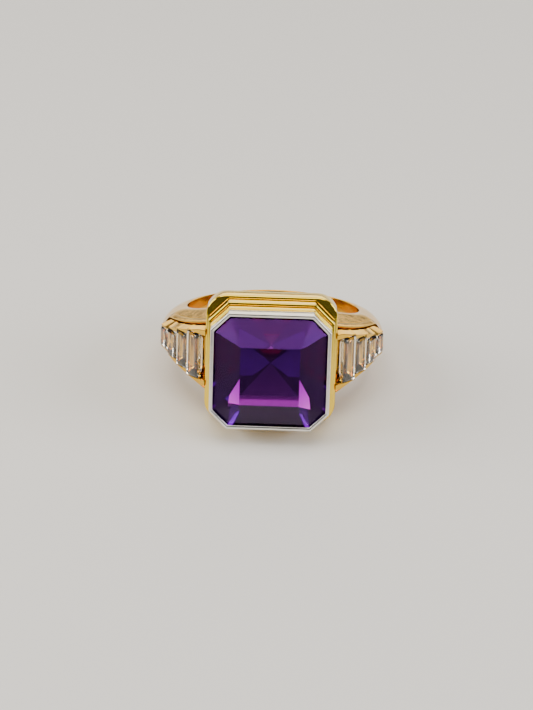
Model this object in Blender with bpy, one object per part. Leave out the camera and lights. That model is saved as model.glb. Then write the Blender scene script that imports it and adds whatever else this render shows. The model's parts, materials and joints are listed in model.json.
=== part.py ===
"""Cocktail ring: a cut-cornered amethyst in a white-metal bezel on a stepped gold head,
with four graduated baguettes channel-set in each tapering shoulder.

The ring is drawn in its own frame, with the finger hole along Y, the gem facing +Z and
the origin at the middle of the finger hole. One empty then lays it on its side, as it
rests on a table: on a corner of the head and the edge of the shank.
"""

import math

import bmesh
import bpy
from mathutils import Matrix, Vector

MM = 0.001

# Driving dimensions, in millimetres and degrees.
HOLE_R = 8.2  # finger hole
BACK_HALF_WIDTH = 1.55  # shank at the back of the finger
BACK_THICKNESS = 1.2
SIDE_WIDENING, SIDE_THICKENING = 0.6, 1.1  # growth of both a quarter turn from the back
DOME_POWER, DOME_POWER_RISE = 1.85, 4.0  # roundness of the domed outer side
SQUARING_START = 1.15  # growth at which the dome starts to get squarer
BUTT_ANGLE = 92.0  # solder joint of shank and shoulder, measured from the back
SHOULDER_END_ANGLE = 158.0  # where a shoulder stops under the head
STATION_STEP = 4.0  # angle between sections of the band
DOME_POINTS = 14  # edges across the domed outer side of a section
BAND_CREASE, SHOULDER_CREASE = 40.0, 30.0  # edges steeper than this are shaded sharp

JOINT_GAP = 0.02  # between flat soldered faces
FIT_GAP = 0.04  # between curved or cut faces

HEAD_BACK_Z = 8.4  # underside of the head
BASE_HALF, BASE_HEIGHT, BASE_CORNER_R, BASE_OPENING = 6.05, 1.82, 1.9, 4.35
MIDDLE_HALF, MIDDLE_HEIGHT, MIDDLE_OPENING = 5.8, 1.37, 4.6
UPPER_HALF, UPPER_HEIGHT, UPPER_OPENING = 5.56, 1.15, 4.75
BEZEL_HALF, BEZEL_HEIGHT, BEZEL_BORE, BEZEL_MOUTH = 5.49, 1.52, 5.25, 5.13
LIP_HEIGHT = 0.2  # the burnished edge that holds the gem down
CORNER_CUT = 1.45  # leg of the gem's cut corners
CORNER_STEPS = 6  # edges round each soft corner of the head's base
SEAT_OPENING = 4.55
SEAT_DROP = 0.15  # top of the bearing below the gem's girdle

GEM_HALF = 5.2
GIRDLE_DROP = 0.34  # girdle below the bezel's rim
GIRDLE_THICKNESS = 0.12
TABLE_HALF = 2.7
CROWN_HEIGHT = 1.7
PAVILION_DEPTH = 5.1
GIRDLE_FACET_SLOPE = 58.0
CORNER_FACET_SLOPE, CORNER_FACET_INSET = 46.0, 0.25
CULET_FACET_SLOPE, CULET_FACET_LEAN = 40.5, 10.0

CHANNEL_TOP = ((6.1, 10.55), (8.9, 6.8), (10.5, 3.3))  # arc of the stones' girdles, (X, Z)
CHANNEL_DEPTH = 1.25
CHANNEL_STEPS = 12  # edges along the channel's floor
CHANNEL_RUNOUT = 0.35  # arc, in radians, that its cutter runs on into the head
CHANNEL_CLEARANCE = 6.0  # height of the cutter over the stones
RAIL_RUNOUT = 0.15  # arc, in radians, that a rail runs on before it is cut at the head
STONE_START_X = 6.65
STONE_HALF_LENGTHS = (2.13, 1.66, 1.26, 0.92)
END_WALL = 0.15  # metal past the last stone
STONE_TABLE, STONE_BEVEL, STONE_CROWN_SLOPE = 0.15, 0.3, 40.0
STONE_GIRDLE, STONE_PAVILION_SLOPE = 0.3, 50.0
SIDE_AT_HEAD = (6.5, 9.6, 3.05)  # X, Z and half-width of the shoulder's flat side
SIDE_TAPER = 0.52  # half-width lost for each millimetre outwards
SIDE_DRAFT = 0.08  # half-width lost for each millimetre towards the gem
LIP_WIDTH, LIP_DEPTH = 0.12, 0.75  # edge outside the groove, and its top below the girdles
GROOVE_WIDTH, GROOVE_FLOOR = 0.18, 1.12
RAIL_WALL = 0.45  # least width of a rail with its groove and lip
SEAT_RAMP = 0.05  # slope at each step in a rail

BIG = 20.0  # half-size of a blank before it is cut

# Finishes: colour, metallic, roughness, transmission.
SATIN_GOLD = ((0.72, 0.43, 0.10), 1.0, 0.22, 0.0)
POLISHED_GOLD = ((0.76, 0.47, 0.12), 1.0, 0.15, 0.0)
POLISHED_WHITE = ((0.80, 0.77, 0.72), 1.0, 0.12, 0.0)
PURPLE_STONE = ((0.20, 0.02, 0.45), 0.0, 0.03, 1.0)
CLEAR_STONE = ((0.90, 0.88, 0.84), 0.0, 0.05, 1.0)

SIDE_NAMES = {-1: "left", 1: "right"}
EDGE_NAMES = {-1: "lower", 1: "upper"}


def clear_scene():
    for ob in list(bpy.data.objects):
        bpy.data.objects.remove(ob, do_unlink=True)


def new_collection(name):
    made = bpy.data.collections.new(name)
    bpy.context.scene.collection.children.link(made)
    return made


def new_material(name, colour, metallic, roughness, transmission):
    made = bpy.data.materials.new(name)
    made.use_nodes = True
    shader = made.node_tree.nodes["Principled BSDF"]
    shader.inputs["Base Color"].default_value = (*colour, 1.0)
    shader.inputs["Metallic"].default_value = metallic
    shader.inputs["Roughness"].default_value = roughness
    shader.inputs["Transmission Weight"].default_value = transmission
    return made


clear_scene()
PARTS = new_collection("Cocktail_Ring")
CUTTERS = new_collection("Cutters")
REST = bpy.data.objects.new("ring_at_rest", None)
PARTS.objects.link(REST)


def add_object(name, mesh, where, material=None, at=(0.0, 0.0, 0.0), turn_y=0.0):
    """Puts a mesh drawn in millimetres into the ring's frame, with its own material."""
    made = bpy.data.objects.new(name, mesh)
    where.objects.link(made)
    made.parent = REST
    made.location = Vector(at) * MM
    made.rotation_euler.y = turn_y
    if material is not None:
        mesh.materials.append(new_material(name, *material))
    return made


def to_mesh(bm, name):
    """Closes a bmesh's drawing: faces outwards, millimetres turned to metres."""
    bmesh.ops.remove_doubles(bm, verts=bm.verts, dist=1e-4)
    bmesh.ops.recalc_face_normals(bm, faces=bm.faces)
    bmesh.ops.scale(bm, vec=(MM, MM, MM), verts=bm.verts)
    mesh = bpy.data.meshes.new(name)
    bm.to_mesh(mesh)
    bm.free()
    return mesh


def slice_off(bm, point, normal):
    """Cuts away what lies beyond a plane and closes the cut, as a lap or a file would."""
    bmesh.ops.bisect_plane(
        bm,
        geom=[*bm.verts, *bm.edges, *bm.faces],
        dist=1e-6,
        plane_co=Vector(point),
        plane_no=Vector(normal),
        clear_outer=True,
    )
    bmesh.ops.holes_fill(bm, edges=[e for e in bm.edges if e.is_boundary], sides=0)


def loft(sections):
    """Joins closed sections of equal point count into a solid with flat ends."""
    bm = bmesh.new()
    rings = [[bm.verts.new(p) for p in section] for section in sections]
    count = len(rings[0])
    for near, far in zip(rings, rings[1:]):
        for i in range(count):
            j = (i + 1) % count
            bm.faces.new((near[i], near[j], far[j], far[i]))
    bm.faces.new(rings[0])
    bm.faces.new(rings[-1])
    return bm


def prism_mesh(name, outlines, height):
    """Extrudes flat outlines along Z from 0 to height; an outline inside another is a hole."""
    curve = bpy.data.curves.new(name, "CURVE")
    curve.dimensions = "2D"
    curve.fill_mode = "BOTH"
    curve.extrude = height / 2
    for outline in outlines:
        spline = curve.splines.new("POLY")
        spline.points.add(len(outline) - 1)
        for point, (x, y) in zip(spline.points, outline):
            point.co = (x, y, 0.0, 1.0)
        spline.use_cyclic_u = True
    drawn = bpy.data.objects.new(name, curve)
    CUTTERS.objects.link(drawn)
    bpy.context.view_layer.update()
    evaluated = drawn.evaluated_get(bpy.context.evaluated_depsgraph_get())
    mesh = bpy.data.meshes.new_from_object(evaluated)
    bm = bmesh.new()
    bm.from_mesh(mesh)
    bpy.data.objects.remove(drawn, do_unlink=True)
    bmesh.ops.translate(bm, vec=(0.0, 0.0, height / 2), verts=bm.verts)
    return bm


def corner_leg(half):
    """Leg of the cut corners that keeps an outline parallel to the gem's."""
    return CORNER_CUT + (2 - math.sqrt(2)) * (half - GEM_HALF)


def cut_square(half):
    """A square of a half-width with its corners cut straight, parallel to the gem's."""
    low = half - corner_leg(half)
    turns = [Matrix.Rotation(math.radians(90 * k), 2) for k in range(4)]
    return [tuple(turn @ Vector(p)) for turn in turns for p in ((half, low), (low, half))]


def round_square(half, radius):
    """A square of a half-width with its corners rounded."""
    points = []
    for side in range(4):
        middle = math.radians(90 * side + 45)
        reach = (half - radius) * math.sqrt(2)
        for step in range(CORNER_STEPS + 1):
            angle = math.radians(90 * (side + step / CORNER_STEPS))
            x = reach * math.cos(middle) + radius * math.cos(angle)
            points.append((x, reach * math.sin(middle) + radius * math.sin(angle)))
    return points


# The band: a flat inner side and a domed outer side that widen towards the head.


def growth(angle):
    return angle / 90.0


def half_width(angle):
    return BACK_HALF_WIDTH + SIDE_WIDENING * growth(angle) ** 3


def thickness(angle):
    return BACK_THICKNESS + SIDE_THICKENING * growth(angle) ** 2


def squareness(angle):
    """Exponent of the dome: 2 is an ellipse, more is nearer to a box."""
    return DOME_POWER + DOME_POWER_RISE * max(0.0, growth(angle) - SQUARING_START)


def dome_at(x, z):
    """Half-width of the dome at a point of the ring's side view, on the right-hand side."""
    angle = math.degrees(math.atan2(x, -z))
    share = min(1.0, (math.hypot(x, z) - HOLE_R) / thickness(angle))
    power = squareness(angle)
    return half_width(angle) * (1.0 - share**power) ** (1.0 / power)


def band_section(angle, side):
    """Section at an angle from the back, on one side of the ring."""
    turned = math.radians(angle)
    power = 2.0 / squareness(angle)
    points = []
    for k in range(DOME_POINTS + 1):
        round_dome = math.pi * k / DOME_POINTS
        across = math.copysign(abs(math.cos(round_dome)) ** power, math.cos(round_dome))
        radius = HOLE_R + thickness(angle) * max(0.0, math.sin(round_dome)) ** power
        x = side * radius * math.sin(turned)
        points.append((x, half_width(angle) * across, -radius * math.cos(turned)))
    return points


def angles_between(first, last):
    steps = math.ceil((last - first) / STATION_STEP)
    return [first + (last - first) * k / steps for k in range(steps + 1)]


def build_shank():
    stop = BUTT_ANGLE - math.degrees(JOINT_GAP / 2 / HOLE_R)
    left = [band_section(a, -1) for a in reversed(angles_between(0.0, stop))]
    right = [band_section(a, 1) for a in angles_between(0.0, stop)[1:]]
    mesh = to_mesh(loft(left + right), "shank_band")
    mesh.shade_smooth()
    mesh.set_sharp_from_angle(angle=math.radians(BAND_CREASE))
    add_object("shank_band", mesh, PARTS, SATIN_GOLD)


# The channel: an arc in the ring's plane that the stones' girdles follow.


def arc_through(a, b, c):
    """Centre and radius of the circle through three points."""
    (ax, ay), (bx, by), (cx, cy) = a, b, c
    d = 2 * (ax * (by - cy) + bx * (cy - ay) + cx * (ay - by))
    a2, b2, c2 = ax**2 + ay**2, bx**2 + by**2, cx**2 + cy**2
    x = (a2 * (by - cy) + b2 * (cy - ay) + c2 * (ay - by)) / d
    y = (a2 * (cx - bx) + b2 * (ax - cx) + c2 * (bx - ax)) / d
    return (x, y), math.hypot(ax - x, ay - y)


ARC_CENTRE, ARC_R = arc_through(*CHANNEL_TOP)


def arc_point(angle, depth):
    """(X, Z) of a point below the stones' girdles, on the right-hand side."""
    radius = ARC_R - depth
    x = ARC_CENTRE[0] + radius * math.cos(angle)
    return x, ARC_CENTRE[1] + radius * math.sin(angle)


def angle_at_x(x):
    return math.acos((x - ARC_CENTRE[0]) / ARC_R)


FAR_X, FAR_Z = CHANNEL_TOP[2]
FAR_ANGLE = math.atan2(FAR_Z - ARC_CENTRE[1], FAR_X - ARC_CENTRE[0])
HEAD_ANGLE = angle_at_x(CHANNEL_TOP[0][0])
LAST_STONE_ANGLE = FAR_ANGLE + END_WALL / ARC_R
STONE_ANGLE = (angle_at_x(STONE_START_X) - LAST_STONE_ANGLE) / len(STONE_HALF_LENGTHS)


def side_at(x, z):
    """Half-width of the shoulder's flat tapering side."""
    x0, z0, at_head = SIDE_AT_HEAD
    return at_head - SIDE_TAPER * (x - x0) - SIDE_DRAFT * (z - z0)


def hide(cutter):
    cutter.hide_render = True
    cutter.display_type = "WIRE"


def add_cutter(name, bm, at=(0.0, 0.0, 0.0)):
    cutter = add_object(name, to_mesh(bm, name), CUTTERS, at=at)
    hide(cutter)
    return cutter


def subtract(part, cutter):
    cut = part.modifiers.new(cutter.name, "BOOLEAN")
    cut.operation = "DIFFERENCE"
    cut.solver = "EXACT"
    cut.object = cutter


def channel_cutter(side):
    """Everything outside the channel's floor, from its far end up to the head."""
    step = (HEAD_ANGLE + CHANNEL_RUNOUT - FAR_ANGLE) / CHANNEL_STEPS
    angles = [FAR_ANGLE + step * k for k in range(CHANNEL_STEPS + 1)]
    floor = [arc_point(angle, CHANNEL_DEPTH) for angle in angles]
    past_head = arc_point(angles[-1], -CHANNEL_CLEARANCE)
    past_end = arc_point(angles[0], -CHANNEL_CLEARANCE)
    bm = prism_mesh("channel", [[*floor, past_head, past_end]], BIG)
    # The outline was drawn flat: stand it up across the band.
    bmesh.ops.translate(bm, vec=(0.0, 0.0, -BIG / 2), verts=bm.verts)
    bmesh.ops.rotate(bm, matrix=Matrix.Rotation(math.radians(90), 3, "X"), verts=bm.verts)
    if side < 0:
        bmesh.ops.scale(bm, vec=(-1.0, 1.0, 1.0), verts=bm.verts)
    return add_cutter(f"channel_cutter_{SIDE_NAMES[side]}", bm)


def head_cutter():
    """The space that the head takes out of the shoulders."""
    half = BASE_HALF + JOINT_GAP
    bm = prism_mesh("head_space", [round_square(half, BASE_CORNER_R)], BIG)
    return add_cutter("head_cutter", bm, at=(0.0, 0.0, HEAD_BACK_Z - JOINT_GAP))


def build_shoulder(side, head_space):
    name = f"{SIDE_NAMES[side]}_shoulder"
    start = BUTT_ANGLE + math.degrees(JOINT_GAP / 2 / HOLE_R)
    bm = loft([band_section(a, side) for a in angles_between(start, SHOULDER_END_ANGLE)])
    x0, z0, at_head = SIDE_AT_HEAD
    for edge in (-1, 1):
        slice_off(bm, (side * x0, edge * at_head, z0), (side * SIDE_TAPER, edge, SIDE_DRAFT))
    mesh = to_mesh(bm, name)
    mesh.shade_smooth()
    mesh.set_sharp_from_angle(angle=math.radians(SHOULDER_CREASE))
    shoulder = add_object(name, mesh, PARTS, SATIN_GOLD)
    subtract(shoulder, channel_cutter(side))
    subtract(shoulder, head_space)


def rail_reach(x, z, inner):
    """Half-width of the shoulder at a rail, which never gets thinner than its least wall."""
    return max(min(side_at(x, z), dome_at(x, z)), inner + RAIL_WALL)


def rail_section(angle, inner, side, edge):
    """Eight points round a rail: a wall beside the stones, a groove and an outer lip."""
    foot = CHANNEL_DEPTH - JOINT_GAP
    # How far in from the shoulder's side, and how deep; None is the stones' side.
    outline = [
        (None, 0.0),
        (LIP_WIDTH + GROOVE_WIDTH, 0.0),
        (LIP_WIDTH + GROOVE_WIDTH, GROOVE_FLOOR),
        (LIP_WIDTH, GROOVE_FLOOR),
        (LIP_WIDTH, LIP_DEPTH),
        (0.0, LIP_DEPTH),
        (0.0, foot),
        (None, foot),
    ]
    points = []
    for inwards, depth in outline:
        x, z = arc_point(angle, depth)
        across = inner if inwards is None else rail_reach(x, z, inner) - inwards
        points.append((side * x, edge * across, z))
    return points


def build_rail(side, edge):
    """A rail beside the stones, stepped inwards as they get shorter."""
    sections = []
    for k, half_length in reversed(list(enumerate(STONE_HALF_LENGTHS))):
        inner = half_length + FIT_GAP
        low = LAST_STONE_ANGLE + (len(STONE_HALF_LENGTHS) - 1 - k) * STONE_ANGLE
        high = low + STONE_ANGLE
        if k == len(STONE_HALF_LENGTHS) - 1:
            low = FAR_ANGLE + JOINT_GAP / ARC_R
        else:
            low += SEAT_RAMP / ARC_R
        if k == 0:
            high = HEAD_ANGLE + RAIL_RUNOUT
        middle = (low + high) / 2
        sections += [rail_section(a, inner, side, edge) for a in (low, middle, high)]
    bm = loft(sections)
    slice_off(bm, (side * (BASE_HALF + JOINT_GAP), 0.0, 0.0), (-side, 0.0, 0.0))
    name = f"{SIDE_NAMES[side]}_rail_{EDGE_NAMES[edge]}"
    add_object(name, to_mesh(bm, name), PARTS, SATIN_GOLD)


# The stones: blanks cut down facet by facet.


def blank(half_x, half_y, low, high):
    bm = bmesh.new()
    bmesh.ops.create_cube(bm, size=2.0)
    bmesh.ops.scale(bm, vec=(half_x, half_y, (high - low) / 2), verts=bm.verts)
    bmesh.ops.translate(bm, vec=(0.0, 0.0, (low + high) / 2), verts=bm.verts)
    return bm


def facet(bm, direction, slope, distance, height):
    """Laps a facet: its compass direction, its slope from flat, and a point that it passes."""
    turned, tilt = math.radians(direction), math.radians(slope)
    flat = Vector((math.cos(turned), math.sin(turned), 0.0))
    up = Vector((0.0, 0.0, 1.0 if height >= 0 else -1.0))
    normal = flat * math.sin(tilt) + up * math.cos(tilt)
    slice_off(bm, flat * distance + Vector((0.0, 0.0, height)), normal)


def baguette_mesh(half_across, half_length):
    """A step-cut baguette: a table and four crown bevels over a tapering pavilion."""
    bm = blank(half_across, half_length, 2 * FIT_GAP - CHANNEL_DEPTH, STONE_TABLE)
    for direction in range(0, 360, 90):
        reach = half_length if direction % 180 else half_across
        facet(bm, direction, STONE_CROWN_SLOPE, reach - STONE_BEVEL, STONE_TABLE)
        facet(bm, direction, STONE_PAVILION_SLOPE, reach, -STONE_GIRDLE)
    return to_mesh(bm, "baguette")


def build_baguettes():
    middle_depth = CHANNEL_DEPTH / 4
    half_across = (ARC_R - middle_depth) * STONE_ANGLE / 2 - FIT_GAP
    for k, half_length in enumerate(STONE_HALF_LENGTHS):
        angle = angle_at_x(STONE_START_X) - (k + 0.5) * STONE_ANGLE
        x, z = arc_point(angle, 0.0)
        for side in (-1, 1):
            name = f"{SIDE_NAMES[side]}_baguette_{k + 1}"
            mesh = baguette_mesh(half_across, half_length)
            turn = side * (math.pi / 2 - angle)
            add_object(name, mesh, PARTS, CLEAR_STONE, at=(side * x, 0.0, z), turn_y=turn)


def amethyst_mesh():
    """A square mixed cut with cut corners; its origin is in the girdle."""
    band = GIRDLE_THICKNESS / 2
    top = band + CROWN_HEIGHT
    bm = blank(GEM_HALF, GEM_HALF, -PAVILION_DEPTH, top)
    corner_reach = (2 * GEM_HALF - CORNER_CUT) / math.sqrt(2)
    table_corner = TABLE_HALF * math.sqrt(2)
    side_slope = math.degrees(math.atan2(CROWN_HEIGHT, GEM_HALF - TABLE_HALF))
    corner_slope = math.degrees(math.atan2(CROWN_HEIGHT, corner_reach - table_corner))
    inset = CORNER_FACET_INSET
    for quarter in range(0, 360, 90):
        corner = quarter + 45
        facet(bm, corner, 90.0, corner_reach, 0.0)
        facet(bm, quarter, side_slope, GEM_HALF, band)
        facet(bm, corner, corner_slope, corner_reach, band)
        facet(bm, quarter, GIRDLE_FACET_SLOPE, GEM_HALF, -band)
        facet(bm, corner, GIRDLE_FACET_SLOPE, corner_reach, -band)
        facet(bm, corner, CORNER_FACET_SLOPE, corner_reach - inset, -band - inset)
        for lean in (-CULET_FACET_LEAN, CULET_FACET_LEAN):
            facet(bm, quarter + lean, CULET_FACET_SLOPE, 0.0, -PAVILION_DEPTH)
    return to_mesh(bm, "amethyst")


def build_head():
    """The stepped head, from its underside up: three tiers, the bezel, its bearing, the gem."""
    tiers = (
        ("gallery_base", BASE_HEIGHT, round_square(BASE_HALF, BASE_CORNER_R), BASE_OPENING),
        ("middle_tier", MIDDLE_HEIGHT, cut_square(MIDDLE_HALF), MIDDLE_OPENING),
        ("upper_tier", UPPER_HEIGHT, cut_square(UPPER_HALF), UPPER_OPENING),
    )
    level = HEAD_BACK_Z
    for name, height, outline, opening in tiers:
        bm = prism_mesh(name, [outline, cut_square(opening)], height - JOINT_GAP)
        add_object(name, to_mesh(bm, name), PARTS, POLISHED_GOLD, at=(0.0, 0.0, level))
        level += height

    outlines = [cut_square(BEZEL_HALF), cut_square(BEZEL_MOUTH)]
    mesh = to_mesh(prism_mesh("bezel", outlines, BEZEL_HEIGHT), "bezel")
    bezel = add_object("white_bezel", mesh, PARTS, POLISHED_WHITE, at=(0.0, 0.0, level))
    bore = prism_mesh("bore", [cut_square(BEZEL_BORE)], 2 * (BEZEL_HEIGHT - LIP_HEIGHT))
    bore_level = level + LIP_HEIGHT - BEZEL_HEIGHT
    subtract(bezel, add_cutter("bezel_bore_cutter", bore, at=(0.0, 0.0, bore_level)))

    girdle = level + BEZEL_HEIGHT - GIRDLE_DROP
    seat_height = girdle - SEAT_DROP - level - JOINT_GAP
    outlines = [cut_square(BEZEL_BORE - FIT_GAP), cut_square(SEAT_OPENING)]
    mesh = to_mesh(prism_mesh("seat", outlines, seat_height), "seat")
    place = (0.0, 0.0, level + JOINT_GAP)
    seat = add_object("stone_seat", mesh, PARTS, POLISHED_WHITE, at=place)
    add_object("amethyst", amethyst_mesh(), PARTS, PURPLE_STONE, at=(0.0, 0.0, girdle))
    bur = add_object("seat_cutter", amethyst_mesh(), CUTTERS, at=(0.0, 0.0, girdle - 2 * FIT_GAP))
    hide(bur)
    subtract(seat, bur)


# How the ring rests: on the lower back edge of its head and the side of the shank.


def dome_reach(out, across):
    """How far the section at the back reaches past its inner side, in a direction."""
    power = squareness(0.0) / (squareness(0.0) - 1.0)
    reach = (thickness(0.0) * out) ** power + (half_width(0.0) * across) ** power
    return reach ** (1.0 / power)


def rest_tilt():
    """Angle of the finger hole's axis from upright, found by settling step by step."""
    tilt = 0.0
    for _ in range(20):
        drop = BASE_HALF * math.cos(tilt) - dome_reach(math.sin(tilt), math.cos(tilt))
        tilt = math.asin(drop / (HEAD_BACK_Z + HOLE_R))
    return tilt


def lay_down():
    """Turns the ring on its side, with its lowest point at Z 0 and its middle on the axis."""
    tilt = rest_tilt()
    lean, upright = math.sin(tilt), math.cos(tilt)
    table = HEAD_BACK_Z + BASE_HEIGHT + MIDDLE_HEIGHT + UPPER_HEIGHT + BEZEL_HEIGHT
    table += CROWN_HEIGHT + GIRDLE_THICKNESS / 2 - GIRDLE_DROP
    front = table * upright + TABLE_HALF * lean
    back = HOLE_R * upright + dome_reach(upright, lean)
    height = BASE_HALF * upright - HEAD_BACK_Z * lean
    REST.rotation_euler.x = math.pi / 2 - tilt
    REST.location = Vector((0.0, (front - back) / 2, height)) * MM


for side in SIDE_NAMES:
    for edge in EDGE_NAMES:
        build_rail(side, edge)
build_shank()
head_space = head_cutter()
for side in SIDE_NAMES:
    build_shoulder(side, head_space)
build_baguettes()
build_head()
lay_down()
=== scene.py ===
# %% [markdown]
# # A cocktail ring, finished in Blender
#
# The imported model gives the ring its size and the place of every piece: twenty-one solids
# with their joints, lying on a table as the ring rests. This file is about what the eye
# sees. The rounded edges that catch the light, the facets of the stones and the finish of
# each metal are made here, one piece at a time.

import itertools
import json
import math

import bmesh
import bpy
import numpy as np
from mathutils import Matrix, Vector


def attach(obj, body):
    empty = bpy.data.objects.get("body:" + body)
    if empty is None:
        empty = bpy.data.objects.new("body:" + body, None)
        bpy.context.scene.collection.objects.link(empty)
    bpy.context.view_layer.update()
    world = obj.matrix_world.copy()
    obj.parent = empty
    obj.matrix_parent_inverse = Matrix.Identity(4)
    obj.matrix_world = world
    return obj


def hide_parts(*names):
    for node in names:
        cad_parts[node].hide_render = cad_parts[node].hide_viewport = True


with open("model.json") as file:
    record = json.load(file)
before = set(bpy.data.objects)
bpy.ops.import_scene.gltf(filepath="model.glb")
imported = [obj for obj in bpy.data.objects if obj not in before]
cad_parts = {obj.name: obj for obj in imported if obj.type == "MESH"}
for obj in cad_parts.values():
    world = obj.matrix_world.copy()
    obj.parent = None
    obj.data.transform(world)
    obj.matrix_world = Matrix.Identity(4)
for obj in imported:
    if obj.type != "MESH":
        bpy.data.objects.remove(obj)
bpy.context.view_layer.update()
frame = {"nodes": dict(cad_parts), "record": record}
MM = 0.001
print("nodes in the frame:", len(frame["nodes"]))

# %% [markdown]
# ## The ring's own axes
#
# A jeweller draws a ring with the finger hole level and the gem on top, but here the ring
# lies on its side. The record's mounts say where the hole's middle is and which way the
# hole and the gem face, so every shape below can be worked out in millimetres in the
# jeweller's frame, and one matrix product lays it down.


# %% Millimetres of the ring to metres of the model
def unit(vector):
    return np.asarray(vector, float) / np.linalg.norm(vector)


mounts = {mount["name"]: mount for mount in frame["record"]["mounts"]}
HOLE_AT = np.array(mounts["finger_hole"]["pos_m"])
HOLE_AXIS = unit(mounts["finger_hole"]["axis"])
GEM_AXIS = unit(mounts["gem_table"]["axis"])
ACROSS_AXIS = np.cross(HOLE_AXIS, GEM_AXIS)
RING_AXES = np.stack([ACROSS_AXIS, HOLE_AXIS, GEM_AXIS])


def laid_down(points):
    """Hole's middle + x times across + y times the hole's axis + z times the gem's axis."""
    return HOLE_AT + MM * np.asarray(points, float) @ RING_AXES


print("hole at", HOLE_AT.round(5), "gem faces", GEM_AXIS.round(3))

# %% [markdown]
# ## From a grid of points to a piece
#
# Metalwork is mostly a section carried along a path: a band, a rail, the wall of a box.
# Such a surface is a grid of points, one row for each place on the path, so one function
# can join any grid into faces, and another turns points and faces into a finished piece.


# %% Grids into pieces
def grid_faces(rows, columns, rows_closed=False):
    """Corners (i, j), (i, j+1), (i+1, j+1), (i+1, j) of each cell; columns always close up."""
    i = np.arange(rows if rows_closed else rows - 1)[:, None]
    j = np.arange(columns)[None, :]
    beside = (j + 1) % columns
    below = (i + 1) % rows
    corners = (
        i * columns + j,
        i * columns + beside,
        below * columns + beside,
        below * columns + j,
    )
    return np.stack(corners, -1).reshape(-1, 4).tolist()


def end_caps(rows, columns):
    first = list(range(columns))
    return [first, [(rows - 1) * columns + k for k in first]]


def add_piece(name, points, faces, stands_for, crease=None):
    """Makes a closed piece from points in millimetres; edges steeper than crease stay sharp."""
    mesh = bpy.data.meshes.new(name)
    mesh.from_pydata(laid_down(points).tolist(), [], faces)
    work = bmesh.new()
    work.from_mesh(mesh)
    bmesh.ops.remove_doubles(work, verts=work.verts, dist=2e-7)
    bmesh.ops.dissolve_degenerate(work, edges=work.edges, dist=1e-7)
    bmesh.ops.recalc_face_normals(work, faces=work.faces)
    work.to_mesh(mesh)
    open_edges = sum(edge.is_boundary for edge in work.edges)
    work.free()
    if crease is not None:
        mesh.shade_smooth()
        mesh.set_sharp_from_angle(angle=math.radians(crease))
    piece = bpy.data.objects.new(name, mesh)
    bpy.context.scene.collection.objects.link(piece)
    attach(piece, "root")
    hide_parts(*stands_for)
    print(f"{name}: {len(mesh.polygons)} faces, {open_edges} open edges")
    return piece


def eased(corners, radius, steps=5):
    """Rounds each corner P of a closed profile: (1-t)^2 A + 2t(1-t) P + t^2 B, where A and B
    lie one radius before and after it, measured in the profile's first and last columns."""
    before = np.roll(corners, 1, -2) - corners
    after = np.roll(corners, -1, -2) - corners

    def stepped(edge):
        length = np.hypot(edge[..., 0], edge[..., -1])[..., None]
        return corners + edge * np.minimum(radius / length, 0.5)

    t = np.linspace(0.0, 1.0, steps)[:, None]
    middle = corners[..., None, :]
    start = stepped(before)[..., None, :]
    end = stepped(after)[..., None, :]
    curve = (1 - t) ** 2 * start + 2 * t * (1 - t) * middle + t**2 * end
    return curve.reshape(*corners.shape[:-2], -1, corners.shape[-1])


# %% [markdown]
# ## The head: three tiers and a white bezel
#
# The head is built up like a stepped pyramid: a soft-cornered gallery tier, two
# cut-cornered tiers of yellow gold, and a bezel of white gold whose edge is burnished over
# the gem. Each is a wall of a simple profile that runs round eight sides. Carrying the
# profile round the sides, instead of bevelling a box, gives every edge its own small
# radius, and those radii draw the bright lines on a polished head.

# %% Eight-sided walls
GEM_HALF, CORNER_CUT = 5.2, 1.45
CORNER_REACH = (2 * GEM_HALF - CORNER_CUT) / math.sqrt(2)
TURNS = np.arange(8) * math.pi / 4
CORNER_STEPS = 5


def cut_square(half, soft):
    """A side's distance, a cut corner's distance and the radius between them."""
    return half - soft, CORNER_REACH + half - GEM_HALF - soft, soft


def soft_square(half, radius):
    """A square with round corners: its cut corners have no length."""
    core = half - radius
    return core, core * math.sqrt(2), radius


def eight_sided(rows):
    """Rows of (half-width, side distance, corner distance, corner radius, height). Two
    neighbouring sides with normals a and b and distances p and q meet at
    ((p sin b - q sin a), (q cos a - p cos b)) / sin(b - a), and an arc round that point
    joins them."""
    _, side, corner, soft, height = rows.T
    distance = np.where(np.arange(8) % 2 == 0, side[:, None], corner[:, None])
    following = np.roll(distance, -1, 1)
    turned = TURNS + math.pi / 4
    across = distance * np.sin(turned) - following * np.sin(TURNS)
    along = following * np.cos(TURNS) - distance * np.cos(turned)
    angles = TURNS[:, None] + np.linspace(0.0, math.pi / 4, CORNER_STEPS)
    radius = soft[:, None, None]
    x = across[..., None] / math.sin(math.pi / 4) + radius * np.cos(angles)
    y = along[..., None] / math.sin(math.pi / 4) + radius * np.sin(angles)
    z = np.broadcast_to(height[:, None, None], x.shape)
    return np.stack([x, y, z], -1).reshape(len(rows), -1, 3)


def profile_row(half, shape, height):
    return (half, *shape, height)


# %% Build the tiers
HEAD_BACK = 8.4
JOINT_GAP = 0.02
TIER_EDGE = 0.13
OPENING_SOFT = 0.15


def add_tier(node, low, high, outline, opening, edge):
    """A rectangular wall between an outline and an opening, with eased edges."""
    half, shape = outline
    hole = cut_square(opening, OPENING_SOFT)
    corners = np.array([
        profile_row(half, shape, low),
        profile_row(half, shape, high),
        profile_row(opening, hole, high),
        profile_row(opening, hole, low),
    ])
    rows = eased(corners, edge)
    points = eight_sided(rows)
    faces = grid_faces(len(rows), points.shape[1], rows_closed=True)
    return add_piece(f"{node}_finished", points.reshape(-1, 3), faces, [node], crease=50)


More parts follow.
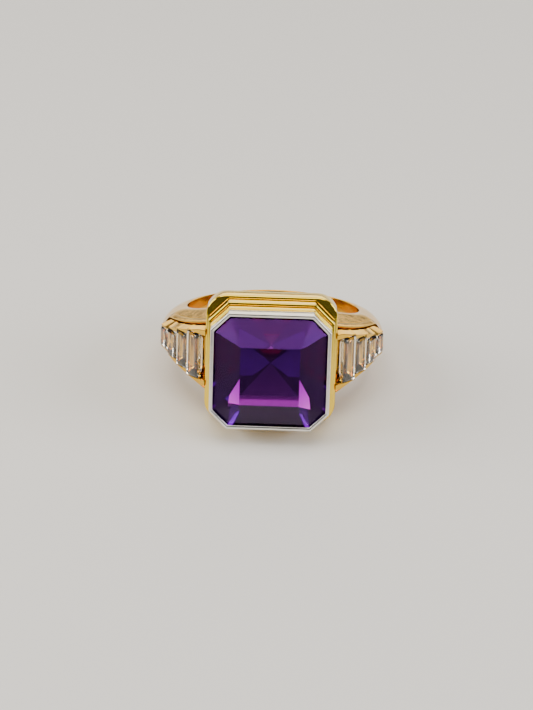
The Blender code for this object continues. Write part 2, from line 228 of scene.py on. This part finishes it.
BASE_RISE, MIDDLE_RISE, UPPER_RISE = 1.82, 3.19, 4.34
base_top, middle_top, upper_top = HEAD_BACK + BASE_RISE, HEAD_BACK + MIDDLE_RISE, HEAD_BACK + UPPER_RISE
tiers = [
    add_tier("gallery_base", HEAD_BACK, base_top - JOINT_GAP,
             (6.05, soft_square(6.05, 1.9)), 4.35, 0.16),
    add_tier("middle_tier", base_top, middle_top - JOINT_GAP,
             (5.8, cut_square(5.8, 0.35)), 4.6, TIER_EDGE),
    add_tier("upper_tier", middle_top, upper_top - JOINT_GAP,
             (5.56, cut_square(5.56, 0.25)), 4.75, 0.1),
]

# %% Build the bezel and its bearing
BEZEL_HEIGHT, GIRDLE_DROP = 1.52, 0.34
RIM = upper_top + BEZEL_HEIGHT
GIRDLE = RIM - GIRDLE_DROP
BEZEL_HALF, BORE, MOUTH = 5.49, 5.25, 5.13
MOUTH_BEVEL, BEVEL_DROP, LIP_THICK, LIP_UNDERSIDE = 0.05, 0.01, 0.12, 0.2
OUTER_SOFT, INNER_SOFT, BEZEL_EDGE = 0.16, 0.04, 0.075
bezel_corners = np.array([
    profile_row(BEZEL_HALF, cut_square(BEZEL_HALF, OUTER_SOFT), upper_top),
    profile_row(BEZEL_HALF, cut_square(BEZEL_HALF, OUTER_SOFT), RIM),
    profile_row(MOUTH + MOUTH_BEVEL, cut_square(MOUTH + MOUTH_BEVEL, INNER_SOFT), RIM - BEVEL_DROP),
    profile_row(MOUTH, cut_square(MOUTH, INNER_SOFT), RIM - LIP_THICK),
    profile_row(BORE, cut_square(BORE, INNER_SOFT), RIM - LIP_UNDERSIDE),
    profile_row(BORE, cut_square(BORE, INNER_SOFT), upper_top),
])
bezel_rows = eased(bezel_corners, BEZEL_EDGE)
bezel_points = eight_sided(bezel_rows)
bezel = add_piece(
    "white_bezel_finished",
    bezel_points.reshape(-1, 3),
    grid_faces(len(bezel_rows), bezel_points.shape[1], rows_closed=True),
    ["white_bezel"],
    crease=50,
)

SEAT_GAP, SEAT_EDGE = 0.04, 0.03
SEAT_OUT, SEAT_IN = BORE - SEAT_GAP, 4.75
SEAT_OUTER_DROP, SEAT_INNER_DROP = 0.2, 0.9
seat_corners = np.array([
    profile_row(SEAT_OUT, cut_square(SEAT_OUT, INNER_SOFT), upper_top + JOINT_GAP),
    profile_row(SEAT_OUT, cut_square(SEAT_OUT, INNER_SOFT), GIRDLE - SEAT_OUTER_DROP),
    profile_row(SEAT_IN, cut_square(SEAT_IN, INNER_SOFT), GIRDLE - SEAT_INNER_DROP),
    profile_row(SEAT_IN, cut_square(SEAT_IN, INNER_SOFT), upper_top + JOINT_GAP),
])
seat_rows = eased(seat_corners, SEAT_EDGE)
seat_points = eight_sided(seat_rows)
seat = add_piece(
    "stone_seat_finished",
    seat_points.reshape(-1, 3),
    grid_faces(len(seat_rows), seat_points.shape[1], rows_closed=True),
    ["stone_seat"],
    crease=50,
)

# %% [markdown]
# ## The band
#
# The shank is half-round wire: flat against the finger, domed outside, and it grows wider
# and thicker towards the head. Its section is half of a superellipse, a curve between an
# ellipse and a box, and the same formula goes on into the shoulders with a squarer dome.

# %% The band's section
HOLE_R = 8.2
BUTT = 92.0
BUTT_HALF_GAP = math.degrees(JOINT_GAP / 2 / HOLE_R)


def half_width(angle):
    return 1.55 + 0.6 * (angle / 90.0) ** 3


def thickness(angle):
    return 1.2 + 1.1 * (angle / 90.0) ** 2


def squareness(angle):
    return 1.85 + 4.0 * np.maximum(0.0, angle / 90.0 - 1.15)


def dome_width(radius, angle):
    """Half-width (1 - t^p)^(1/p) of the section, t being the share of its thickness."""
    power = squareness(angle)
    share = np.clip((radius - HOLE_R) / thickness(angle), 0.0, 1.0)
    return half_width(angle) * (1.0 - share**power) ** (1.0 / power)


def eased_by(distance, radius):
    """Inset r - sqrt(r^2 - (r - d)^2) of a quarter-round edge at a distance d from it."""
    reach = np.clip(radius - distance, 0.0, radius)
    return radius - np.sqrt(radius**2 - reach**2)


def both_sides(x, width, z):
    """Section rows from the inner side out along one face and back along the other."""
    out = np.stack([x, width, z], -1)
    back = np.stack([x, -width, z], -1)[:, ::-1]
    return np.concatenate([out, back], 1)


EDGE_SHARES = np.array([0.0, 0.006, 0.016, 0.032, 0.055])
OUTWARD = 1.0 - (1.0 - np.linspace(0.08, 1.0, 30)) ** 2.2
SHARES = np.concatenate([EDGE_SHARES, OUTWARD])
FINGER_EDGE = 0.12
SHANK_ROWS = 185

# %% Build the shank
shank_stop = BUTT - BUTT_HALF_GAP
angles = np.linspace(-shank_stop, shank_stop, SHANK_ROWS)[:, None]
radius = HOLE_R + thickness(np.abs(angles)) * SHARES
shank_width = dome_width(radius, np.abs(angles)) - eased_by(radius - HOLE_R, FINGER_EDGE)
turned = np.radians(angles)
shank_points = both_sides(radius * np.sin(turned), shank_width, -radius * np.cos(turned))
rows, columns = shank_points.shape[:2]
shank = add_piece(
    "shank_band_finished",
    shank_points.reshape(-1, 3),
    grid_faces(rows, columns) + end_caps(rows, columns),
    ["shank_band"],
    crease=50,
)

# %% [markdown]
# ## The shoulders
#
# A shoulder is the band's own section, filed flat on both sides and milled out along the
# top for the stones. Seen from the side it lies between two curves, the finger hole and
# the line of its outer edge: dome, end of the channel, floor of the channel, and the
# underside of the head. Straight lines between matching points of the two curves fill it,
# and at every point the width is the smaller of the dome's and the filed side's. The line
# at the channel's end lies in the plane of the rails' ends, and the line at the head stands
# along the head's wall, so the shoulder meets both without running into them.

# %% The channel's arc
CHANNEL_TOP = np.array([(6.1, 10.55), (8.9, 6.8), (10.5, 3.3)])
CHANNEL_DEPTH = 1.25


def circle_through(points):
    """Solves 2x cx + 2z cz + c = x^2 + z^2 for the centre and radius."""
    system = np.column_stack([2 * points, np.ones(3)])
    cx, cz, rest = np.linalg.solve(system, (points**2).sum(1))
    return np.array([cx, cz]), math.sqrt(rest + cx**2 + cz**2)


ARC_CENTRE, ARC_R = circle_through(CHANNEL_TOP)


def on_arc(angle, depth):
    """X and Z of a point below the stones' girdles."""
    reach = ARC_R - depth
    return ARC_CENTRE[0] + reach * np.cos(angle), ARC_CENTRE[1] + reach * np.sin(angle)


def angle_at(x, depth):
    return np.arccos((x - ARC_CENTRE[0]) / (ARC_R - depth))


FAR_ANGLE = math.atan2(*(CHANNEL_TOP[2] - ARC_CENTRE)[::-1])
HEAD_SIDE = 6.05 + JOINT_GAP
print("channel arc radius", round(ARC_R, 2), "mm")


def filed_width(x, z):
    """The flat side: narrower outwards and, a little, towards the gem."""
    return 3.05 - 0.52 * (x - 6.5) - 0.08 * (z - 9.6)


def smooth_least(a, b, blend):
    """The smaller of two values, with a rounding of a given size where they cross."""
    return (a + b - np.sqrt((a - b) ** 2 + blend**2)) / 2


# %% Build the shoulders
CREASE_BLEND = 0.06
TOP_EDGE = 0.07
END_ANGLE = 158.0
END_DROP, UNDER_END_X = 0.04, 3.2
DOME_ROWS, FLOOR_ROWS, UNDER_ROWS = 50, 130, 30
TOP_SHARES = 1.0 - np.array([0.045, 0.028, 0.014, 0.005, 0.0])
SHOULDER_SHARES = np.concatenate([SHARES[SHARES < 0.95], TOP_SHARES])


def from_back(x, z):
    """Angle round the hole, in degrees from the back of the ring."""
    return np.degrees(np.arctan2(x, -z))


def hole_angle_below(top, floor):
    """Where the line from top through floor meets the hole: solves |top + t (floor - top)| = r."""
    down = floor - top
    half, rest = top @ down, top @ top - HOLE_R**2
    t = (-half - math.sqrt(half**2 - down @ down * rest)) / (down @ down)
    return from_back(*(top + t * down))


end_top = np.array(on_arc(FAR_ANGLE, END_DROP))
end_hole_angle = hole_angle_below(end_top, np.array(on_arc(FAR_ANGLE, CHANNEL_DEPTH)))
head_hole_angle = from_back(HEAD_SIDE, math.sqrt(HOLE_R**2 - HEAD_SIDE**2))
dome_angles = np.linspace(BUTT + BUTT_HALF_GAP, from_back(*end_top), DOME_ROWS)
dome_reach = HOLE_R + thickness(dome_angles)
dome_turns = np.radians(dome_angles)
dome_x, dome_z = dome_reach * np.sin(dome_turns), -dome_reach * np.cos(dome_turns)
floor_turns = np.linspace(FAR_ANGLE, angle_at(HEAD_SIDE, CHANNEL_DEPTH), FLOOR_ROWS)
floor_x, floor_z = on_arc(floor_turns, CHANNEL_DEPTH)
under_x = np.linspace(HEAD_SIDE, UNDER_END_X, UNDER_ROWS)
under_z = np.full(UNDER_ROWS, HEAD_BACK - JOINT_GAP)
outer_x = np.concatenate([dome_x, floor_x, under_x])
outer_z = np.concatenate([dome_z, floor_z, under_z])
hole_angles = np.concatenate([
    np.linspace(dome_angles[0], end_hole_angle, len(dome_angles)),
    np.linspace(end_hole_angle, head_hole_angle, len(floor_x)),
    np.linspace(head_hole_angle, END_ANGLE, len(under_x)),
])
inner_angles = np.radians(hole_angles)
inner_x, inner_z = HOLE_R * np.sin(inner_angles), -HOLE_R * np.cos(inner_angles)

height = np.hypot(outer_x - inner_x, outer_z - inner_z)[:, None]
x = inner_x[:, None] + (outer_x - inner_x)[:, None] * SHOULDER_SHARES
z = inner_z[:, None] + (outer_z - inner_z)[:, None] * SHOULDER_SHARES
domed = dome_width(np.hypot(x, z), from_back(x, z))
width = smooth_least(domed, filed_width(x, z), CREASE_BLEND)
is_channel = np.arange(len(outer_x))[:, None] >= len(dome_x)
width = width - eased_by(height * SHOULDER_SHARES, FINGER_EDGE)
width = width - is_channel * eased_by(height * (1.0 - SHOULDER_SHARES), TOP_EDGE)
width = np.maximum(width, 0.0)

shoulders = []
for side_name, side in (("left", -1.0), ("right", 1.0)):
    points = both_sides(side * x, width, z)
    rows, columns = points.shape[:2]
    faces = grid_faces(rows, columns) + end_caps(rows, columns)
    node = f"{side_name}_shoulder"
    piece = add_piece(f"{node}_finished", points.reshape(-1, 3), faces, [node], crease=40)
    shoulders.append(piece)

# %% [markdown]
# ## The rails
#
# Two rails stand on each shoulder and hold the ends of the stones. A narrow groove is cut
# down the outer side of each, so a dark line runs between the wall beside the stones and
# the thin lip in line with the filed side. The section is worked out at each place along
# the channel's arc. Past the last step the sections turn little by little, so that the
# last one lies on the head's wall. The wall keeps a least thickness beside every stone.

# %% Build the rails
STONE_HALF_LENGTHS = np.array([2.13, 1.66, 1.26, 0.92])
STONE_START_X, END_MARGIN = 6.65, 0.15
STONE_START = angle_at(STONE_START_X, 0.0)
LAST_STONE = FAR_ANGLE + END_MARGIN / ARC_R
STONE_ANGLE = (STONE_START - LAST_STONE) / 4
FIT_GAP = 0.04
RAMP = 0.03 / ARC_R
LIP_WIDTH, GROOVE_WIDTH = 0.12, 0.18
LEAST_REACH, LEAST_WALL = 1.38, 0.08
LIP_DEPTH, GROOVE_FLOOR, FOOT = 0.75, 1.12, CHANNEL_DEPTH - JOINT_GAP
RAIL_EDGE = 0.045
RAIL_ROWS, PAST_STONES = 150, 0.17
steps_at = LAST_STONE + STONE_ANGLE * np.array([1.0, 2.0, 3.0])
rail_angles = np.sort(np.concatenate([
    np.linspace(FAR_ANGLE + JOINT_GAP / ARC_R, STONE_START + PAST_STONES, RAIL_ROWS),
    steps_at - RAMP,
    steps_at + RAMP,
]))
stone_index = np.clip(4 - (rail_angles - LAST_STONE) / STONE_ANGLE, 0, 3.999).astype(int)
inner_wall = STONE_HALF_LENGTHS[stone_index][:, None] + FIT_GAP
wall_inwards = LIP_WIDTH + GROOVE_WIDTH
inwards = np.array([0, wall_inwards, wall_inwards, LIP_WIDTH, LIP_WIDTH, 0, 0, 0])
depths = np.array([0, 0, GROOVE_FLOOR, GROOVE_FLOOR, LIP_DEPTH, LIP_DEPTH, FOOT, FOOT])
last_step = steps_at[-1] + RAMP
past_step = np.clip((rail_angles - last_step) / (rail_angles[-1] - last_step), 0.0, 1.0)[:, None]


def row_angles(depth):
    """The rail's angle up to the last step, then an even share of the way to the head's wall."""
    square_on = np.minimum(rail_angles, last_step)[:, None]
    return square_on + past_step * (angle_at(HEAD_SIDE, depth) - last_step)


at_x, at_z = on_arc(row_angles(depths), depths)
domed = dome_width(np.hypot(at_x, at_z), from_back(at_x, at_z))
outside = smooth_least(filed_width(at_x, at_z), domed, CREASE_BLEND)
across = np.maximum(outside, LEAST_REACH) - inwards
across[:, 1:3] = np.maximum(across[:, 1:3], inner_wall + LEAST_WALL)
across[:, [0, 7]] = inner_wall
print("thinnest wall beside a stone", (across[:, 1:3] - inner_wall).min().round(3), "mm")
print("narrowest groove", (across[:, 3:5] - across[:, [2, 1]]).min().round(3), "mm")
section = eased(np.stack([across, np.broadcast_to(depths, across.shape)], -1), RAIL_EDGE, 4)
rail_x, rail_z = on_arc(row_angles(section[..., 1]), section[..., 1])

rails = []
for side_name, side in (("left", -1.0), ("right", 1.0)):
    for edge_name, edge in (("lower", -1.0), ("upper", 1.0)):
        points = np.stack([side * rail_x, edge * section[..., 0], rail_z], -1)
        rows, columns = points.shape[:2]
        faces = grid_faces(rows, columns) + end_caps(rows, columns)
        node = f"{side_name}_rail_{edge_name}"
        piece = add_piece(f"{node}_finished", points.reshape(-1, 3), faces, [node], crease=35)
        rails.append(piece)

# %% [markdown]
# ## Cutting the stones
#
# A cutter laps one flat facet after another, and a stone is what all of those planes leave
# between them. The same can be worked out at once: every three planes meet in a point, and
# the points that lie behind all the other planes are the stone's corners.


# %% A stone from its facets
def facet_planes(directions, slopes, distances, heights):
    """Unit normals and distances of facets. Each faces a compass direction, slopes from
    flat, and passes through a point at a distance out and a height; below the girdle the
    height is negative and the facet looks down."""
    directions, slopes = np.radians(directions), np.radians(slopes)
    up = np.where(np.asarray(heights) >= 0, 1.0, -1.0)
    out = np.sin(slopes)
    parts = [np.cos(directions) * out, np.sin(directions) * out, np.cos(slopes) * up]
    normals = np.stack(parts, -1)
    return normals, np.asarray(distances) * out + np.asarray(heights) * normals[:, 2]


def lapped(facets):
    """Corners and faces of the stone behind all facets: solves n.p = d for every three."""
    normals, reaches = facet_planes(*np.array(facets, float).T)
    trios = np.array(list(itertools.combinations(range(len(normals)), 3)))
    sharp = np.abs(np.linalg.det(normals[trios])) > 1e-5
    trios = trios[sharp]
    met = np.linalg.solve(normals[trios], reaches[trios][..., None])[..., 0]
    kept = met[(met @ normals.T <= reaches + 1e-6).all(1)]
    corners = np.unique(kept.round(4), axis=0)
    on_facet = np.abs(corners @ normals.T - reaches) < 4e-4
    faces = []
    for normal, mask in zip(normals, on_facet.T):
        found = np.flatnonzero(mask)
        if len(found) < 3:
            continue
        spread = corners[found] - corners[found].mean(0)
        side = unit(np.cross(normal, spread[0]))
        angle = np.arctan2(spread @ side, spread @ unit(spread[0]))
        faces.append(found[np.argsort(angle)].tolist())
    return corners, faces


# %% [markdown]
# ## The amethyst
#
# The centre stone is a square mixed cut with cut corners: a plain crown of four broad
# facets, four corner facets and a table, over a pavilion with one deep main facet on each
# side. The broad crown keeps large quiet reflections. The mains keep the middle dark, and
# narrower facets by the corners and the girdle send a few lilac and violet lights back.

# %% Cut the amethyst
TABLE_HALF, CROWN, PAVILION, BAND = 2.7, 1.7, 5.4, 0.06
MAIN_SLOPE, GIRDLE_SLOPE = 45.8, 58
CORNER_SLOPE, CORNER_INSET = 46, 0.25
SPLIT_SLOPE, SPLIT_TURN, SPLIT_REACH = 45, 33, 6.4
side_slope = math.degrees(math.atan2(CROWN, GEM_HALF - TABLE_HALF))
corner_slope = math.degrees(math.atan2(CROWN, CORNER_REACH - TABLE_HALF * math.sqrt(2)))
gem_facets = [(0.0, 0.0, 0.0, BAND + CROWN)]
for quarter in (0, 90, 180, 270):
    corner = quarter + 45
    gem_facets += [
        (quarter, 90, GEM_HALF, 0.0),
        (corner, 90, CORNER_REACH, 0.0),
        (quarter, side_slope, GEM_HALF, BAND),
        (corner, corner_slope, CORNER_REACH, BAND),
        (quarter, GIRDLE_SLOPE, GEM_HALF, -BAND),
        (corner, GIRDLE_SLOPE, CORNER_REACH, -BAND),
        (corner, CORNER_SLOPE, CORNER_REACH - CORNER_INSET, -BAND - CORNER_INSET),
        (quarter, MAIN_SLOPE, 0.0, -PAVILION),
        (quarter - SPLIT_TURN, SPLIT_SLOPE, SPLIT_REACH, -BAND),
        (quarter + SPLIT_TURN, SPLIT_SLOPE, SPLIT_REACH, -BAND),
    ]
gem_corners, gem_faces = lapped(gem_facets)
gem = add_piece("amethyst_finished", gem_corners + [0.0, 0.0, GIRDLE], gem_faces, ["amethyst"])

# %% [markdown]
# ## The baguettes
#
# Each shoulder holds four step-cut baguettes, longest beside the head. A step cut is a
# stack of shallow facets parallel to the sides, above and below the girdle, which gives
# the stones their long parallel stripes of light.

# %% Cut the baguettes
TABLE_HEIGHT, KEEL_DEPTH = 0.18, 1.05
# Slope, distance in from the girdle and height of each step on a side.
STEP_CUT = [(90, 0.0, 0.0), (48, 0.0, 0.02), (27, 0.17, 0.14), (62, 0.0, -0.14), (46, 0.14, -0.4)]
half_across = (ARC_R - CHANNEL_DEPTH / 4) * STONE_ANGLE / 2 - FIT_GAP
stones = []
for k, half_length in enumerate(STONE_HALF_LENGTHS):
    facets = [(0.0, 0.0, 0.0, TABLE_HEIGHT), (0.0, 0.0, 0.0, -KEEL_DEPTH)]
    for direction in (0, 90, 180, 270):
        reach = half_length if direction % 180 else half_across
        facets += [(direction, slope, reach - inset, level) for slope, inset, level in STEP_CUT]
    stone_corners, stone_faces = lapped(facets)
    angle = STONE_START - (k + 0.5) * STONE_ANGLE
    centre_x, centre_z = on_arc(angle, 0.0)
    for side_name, side in (("left", -1.0), ("right", 1.0)):
        along = np.array([math.sin(angle), 0.0, -side * math.cos(angle)])
        outward = np.array([side * math.cos(angle), 0.0, math.sin(angle)])
        centre = np.array([side * centre_x, 0.0, centre_z])
        points = centre + stone_corners @ np.stack([along, [0.0, 1.0, 0.0], outward])
        node = f"{side_name}_baguette_{k + 1}"
        stones.append(add_piece(f"{node}_finished", points, stone_faces, [node]))

# %% [markdown]
# ## Finishes
#
# Polished metal has almost no colour of its own: it shows its surroundings, tinted. What
# tells the eye that it is metal and not paint is the slow wobble that hand polishing
# leaves, and the fine scratches that spread each highlight. Both are noise patterns whose
# scales come from real sizes, read from Object coordinates.


# %% Helpers for finishes
def linear(hex_colour):
    """sRGB hex to linear: ((c + 0.055) / 1.055)^2.4 above 0.04045, otherwise c / 12.92."""
    srgb = np.array([int(hex_colour[i : i + 2], 16) for i in (1, 3, 5)]) / 255
    curve = np.where(srgb > 0.04045, ((srgb + 0.055) / 1.055) ** 2.4, srgb / 12.92)
    return (*curve.tolist(), 1.0)


def add(tree, kind, inputs=None, **settings):
    """Adds a node; an input is a value, or an output of another node to link."""
    made = tree.nodes.new(kind)
    for name, value in settings.items():
        setattr(made, name, value)
    for name, value in (inputs or {}).items():
        if isinstance(value, bpy.types.NodeSocket):
            tree.links.new(value, made.inputs[name])
        else:
            made.inputs[name].default_value = value
    return made


def per_metre(millimetres):
    """Noise scale for a feature of a size, since Object coordinates are in metres."""
    return 1.0 / (millimetres * MM)


def noise(tree, place, size_mm, **more):
    """Strength of a noise whose features have a size in millimetres."""
    inputs = {"Vector": place, "Scale": per_metre(size_mm), **more}
    return add(tree, "ShaderNodeTexNoise", inputs).outputs["Fac"]


def ranged(tree, value, low, high, to_low, to_high):
    """The value's range from low to high, stretched to the range to_low to to_high."""
    inputs = {"Value": value, "From Min": low, "From Max": high, "To Min": to_low, "To Max": to_high}
    return add(tree, "ShaderNodeMapRange", inputs).outputs["Result"]


LAID_TURN = Matrix(RING_AXES.tolist()).to_euler()
WAVE_SIZE, HAIR_SIZE, WEAR_SIZE = 3.0, 0.09, 0.7
HAIR_STRETCH = (0.12, 1.0, 1.0)


# %% Precious metal
def precious_metal(name, light, deep, smooth, rough, wobble, scratch):
    """A polished alloy: colour between two tones, roughness between two values, a slow
    wobble of about 3 mm and hairline scratches along the ring, both as bump."""
    finish = bpy.data.materials.new(name)
    finish.use_nodes = True
    tree = finish.node_tree
    shader = tree.nodes["Principled BSDF"]
    place = add(tree, "ShaderNodeTexCoord").outputs["Object"]
    slow = noise(tree, place, WAVE_SIZE, Detail=1.5)
    # Hairlines are about 0.01 mm wide; they are drawn wider so that they show.
    laid = {"Vector": place, "Rotation": LAID_TURN, "Scale": HAIR_STRETCH}
    drawn_out = add(tree, "ShaderNodeMapping", laid).outputs[0]
    hair = noise(tree, drawn_out, HAIR_SIZE, Detail=3.0, Roughness=0.65)
    worn = noise(tree, place, WEAR_SIZE, Detail=4.0)
    tones = {"Factor": slow, "A": linear(light), "B": linear(deep)}
    tone = add(tree, "ShaderNodeMix", tones, data_type="RGBA")
    tree.links.new(tone.outputs["Result"], shader.inputs["Base Color"])
    both = add(tree, "ShaderNodeMath", {0: hair, 1: worn}, operation="MULTIPLY").outputs[0]
    tree.links.new(ranged(tree, both, 0.12, 0.42, smooth, rough), shader.inputs["Roughness"])
    waved = add(tree, "ShaderNodeBump", {"Height": slow, "Strength": 1.0, "Distance": wobble * MM})
    lines = {"Height": hair, "Normal": waved.outputs["Normal"], "Strength": 1.0, "Distance": scratch * MM}
    lined = add(tree, "ShaderNodeBump", lines)
    tree.links.new(lined.outputs["Normal"], shader.inputs["Normal"])
    shader.inputs["Metallic"].default_value = 1.0
    return finish


# %% [markdown]
# ### Yellow gold, mirror polished and hand polished
# The head is 14 or 18 carat yellow gold off a polishing mop: bright, nearly mirror-like,
# with soft yellow lights and brown depths. The band and shoulders have been worn against
# skin and other rings, so they are a little rougher and wavier. Their gold also has deeper
# tones than the head's, a painted shade that darkens the band, shoulders and rails.

# %% Gold finishes
mop_gold = precious_metal(
    "yellow_gold_mirror_polish", "#FADA50", "#EFC43E",
    smooth=0.04, rough=0.13, wobble=0.02, scratch=0.0004,
)
# Deeper tones than the head's gold: painted shade on the band, shoulders and rails.
worn_and_shaded_gold = precious_metal(
    "yellow_gold_worn_polish_and_painted_shade", "#F2C346", "#DDA630",
    smooth=0.07, rough=0.2, wobble=0.016, scratch=0.0005,
)
for piece in tiers:
    piece.data.materials.append(mop_gold)
for piece in (shank, *shoulders, *rails):
    piece.data.materials.append(worn_and_shaded_gold)

# %% [markdown]
# ### White gold
#
# The bezel is white gold, rhodium plated and burnished over the gem's edge. It is nearly
# neutral, slightly warm, and shows the burnisher's strokes.

# %% White gold finish
rhodium_white = precious_metal(
    "white_gold_rhodium_burnished", "#F1EEE8", "#DDD8CE",
    smooth=0.07, rough=0.2, wobble=0.02, scratch=0.0008,
)
for piece in (bezel, seat):
    piece.data.materials.append(rhodium_white)


# %% [markdown]
# ### Amethyst
#
# Amethyst is purple quartz. Its surface is clear and its colour lies in the depth of the
# stone: the longer light travels inside, the darker the violet that comes back. So the
# surface is colourless glass with quartz's refraction, and the colour is an absorbing
# volume. Fine polish lines barely soften the facets.

# %% Stone finish
def clear_stone(name, tint, ior, polish_mm):
    """A transparent stone: its facets' gloss varies a little with the polish."""
    finish = bpy.data.materials.new(name)
    finish.use_nodes = True
    tree = finish.node_tree
    shader = tree.nodes["Principled BSDF"]
    place = add(tree, "ShaderNodeTexCoord").outputs["Object"]
    polish = noise(tree, place, polish_mm, Detail=2.0)
    tree.links.new(ranged(tree, polish, 0.45, 0.75, 0.0, 0.03), shader.inputs["Roughness"])
    shader.inputs["Base Color"].default_value = linear(tint)
    shader.inputs["Transmission Weight"].default_value = 1.0
    shader.inputs["IOR"].default_value = ior
    return finish


amethyst = clear_stone("amethyst_polished_quartz", "#FFFFFF", 1.544, 0.8)
tree = amethyst.node_tree
tree.nodes["Principled BSDF"].inputs["Specular Tint"].default_value = linear("#A858D6")
depth_colour = {"Color": linear("#DE12EA"), "Density": 1000.0}
absorbing = add(tree, "ShaderNodeVolumeAbsorption", depth_colour)
tree.links.new(absorbing.outputs[0], tree.nodes["Material Output"].inputs["Volume"])
gem.data.materials.append(amethyst)

# %% [markdown]
# ### Baguettes
#
# The small stones are colourless and very bright, so they get sapphire's refraction and
# only a trace of warmth, and their brilliance comes from the gold behind them.

# %% White sapphire finish
white_sapphire = clear_stone("white_sapphire_step_cut", "#FFFAF0", 1.77, 0.5)
for piece in stones:
    piece.data.materials.append(white_sapphire)

# %% [markdown]
# ## The studio
#
# A pale floor, a wide soft light above, one low behind the ring and one on either side.
# Gold and facets need both bright and dark things to reflect, so the lights are
# placed round the ring instead of making the whole surroundings bright.

# %% Floor
floor_mesh = bpy.data.meshes.new("studio_floor")
floor_half = 0.6
floor_points = [(-floor_half, -floor_half, 0.0), (floor_half, -floor_half, 0.0),
                (floor_half, floor_half, 0.0), (-floor_half, floor_half, 0.0)]
floor_mesh.from_pydata(floor_points, [], [(0, 1, 2, 3)])
floor = bpy.data.objects.new("studio_floor", floor_mesh)
bpy.context.scene.collection.objects.link(floor)
paper = bpy.data.materials.new("matte_paper")
paper.use_nodes = True
paper.node_tree.nodes["Principled BSDF"].inputs["Base Color"].default_value = linear("#D9D6D0")
paper.node_tree.nodes["Principled BSDF"].inputs["Roughness"].default_value = 0.9
floor_mesh.materials.append(paper)

# %% Lights and surroundings
AIM = Vector(HOLE_AT)


def add_softbox(name, azimuth, elevation, distance, size, power, colour):
    """A square light at an azimuth and elevation round the ring, facing it."""
    a, e = math.radians(azimuth), math.radians(elevation)
    back = Vector((math.sin(a) * math.cos(e), -math.cos(a) * math.cos(e), math.sin(e)))
    lamp = bpy.data.lights.new(name, "AREA")
    lamp.shape = "RECTANGLE"
    lamp.size, lamp.size_y = size
    lamp.energy = power
    lamp.color = linear(colour)[:3]
    light = bpy.data.objects.new(name, lamp)
    facing = back.to_track_quat("Z", "Y").to_matrix().to_4x4()
    light.matrix_world = Matrix.Translation(AIM + back * distance) @ facing
    bpy.context.scene.collection.objects.link(light)


add_softbox("overhead_softbox", 0, 80, 0.35, (0.34, 0.26), 1.4, "#FFF9F0")
add_softbox("back_softbox", 180, 15, 0.40, (0.50, 0.18), 0.7, "#FFF6E2")
add_softbox("left_softbox", -78, 30, 0.38, (0.30, 0.22), 1.5, "#FFFDFA")
add_softbox("right_softbox", 74, 26, 0.38, (0.26, 0.20), 1.3, "#F4F6FF")

world = bpy.data.worlds.new("studio_surroundings")
bpy.context.scene.world = world
world.use_nodes = True
surround = world.node_tree.nodes["Background"]
surround.inputs["Color"].default_value = linear("#C9CCD2")
surround.inputs["Strength"].default_value = 0.16

# %% [markdown]
# ## The camera
#
# A long lens from a little above, turned a degree and a half, as a camera held in the hand is.

# %% Camera
AZIMUTH, ELEVATION, ROLL = math.radians(0.66), math.radians(32.1), math.radians(-1.5)
DISTANCE, AIM_ACROSS, AIM_UP = 0.2498, -0.51 * MM, -2.56 * MM
toward = np.array([
    math.sin(AZIMUTH) * math.cos(ELEVATION),
    -math.cos(AZIMUTH) * math.cos(ELEVATION),
    math.sin(ELEVATION),
])
right = np.array([math.cos(AZIMUTH), math.sin(AZIMUTH), 0.0])
up = np.cross(toward, right)
spot = HOLE_AT + AIM_ACROSS * right + AIM_UP * up + DISTANCE * toward
rolled_right = right * math.cos(ROLL) - up * math.sin(ROLL)
rolled_up = right * math.sin(ROLL) + up * math.cos(ROLL)
lens = bpy.data.cameras.new("camera")
lens.lens = 132.0
lens.clip_start = 0.01
camera = bpy.data.objects.new("camera", lens)
pose = np.eye(4)
pose[:3] = np.column_stack([rolled_right, rolled_up, toward, spot])
camera.matrix_world = Matrix(pose.tolist())
bpy.context.scene.collection.objects.link(camera)
bpy.context.scene.camera = camera
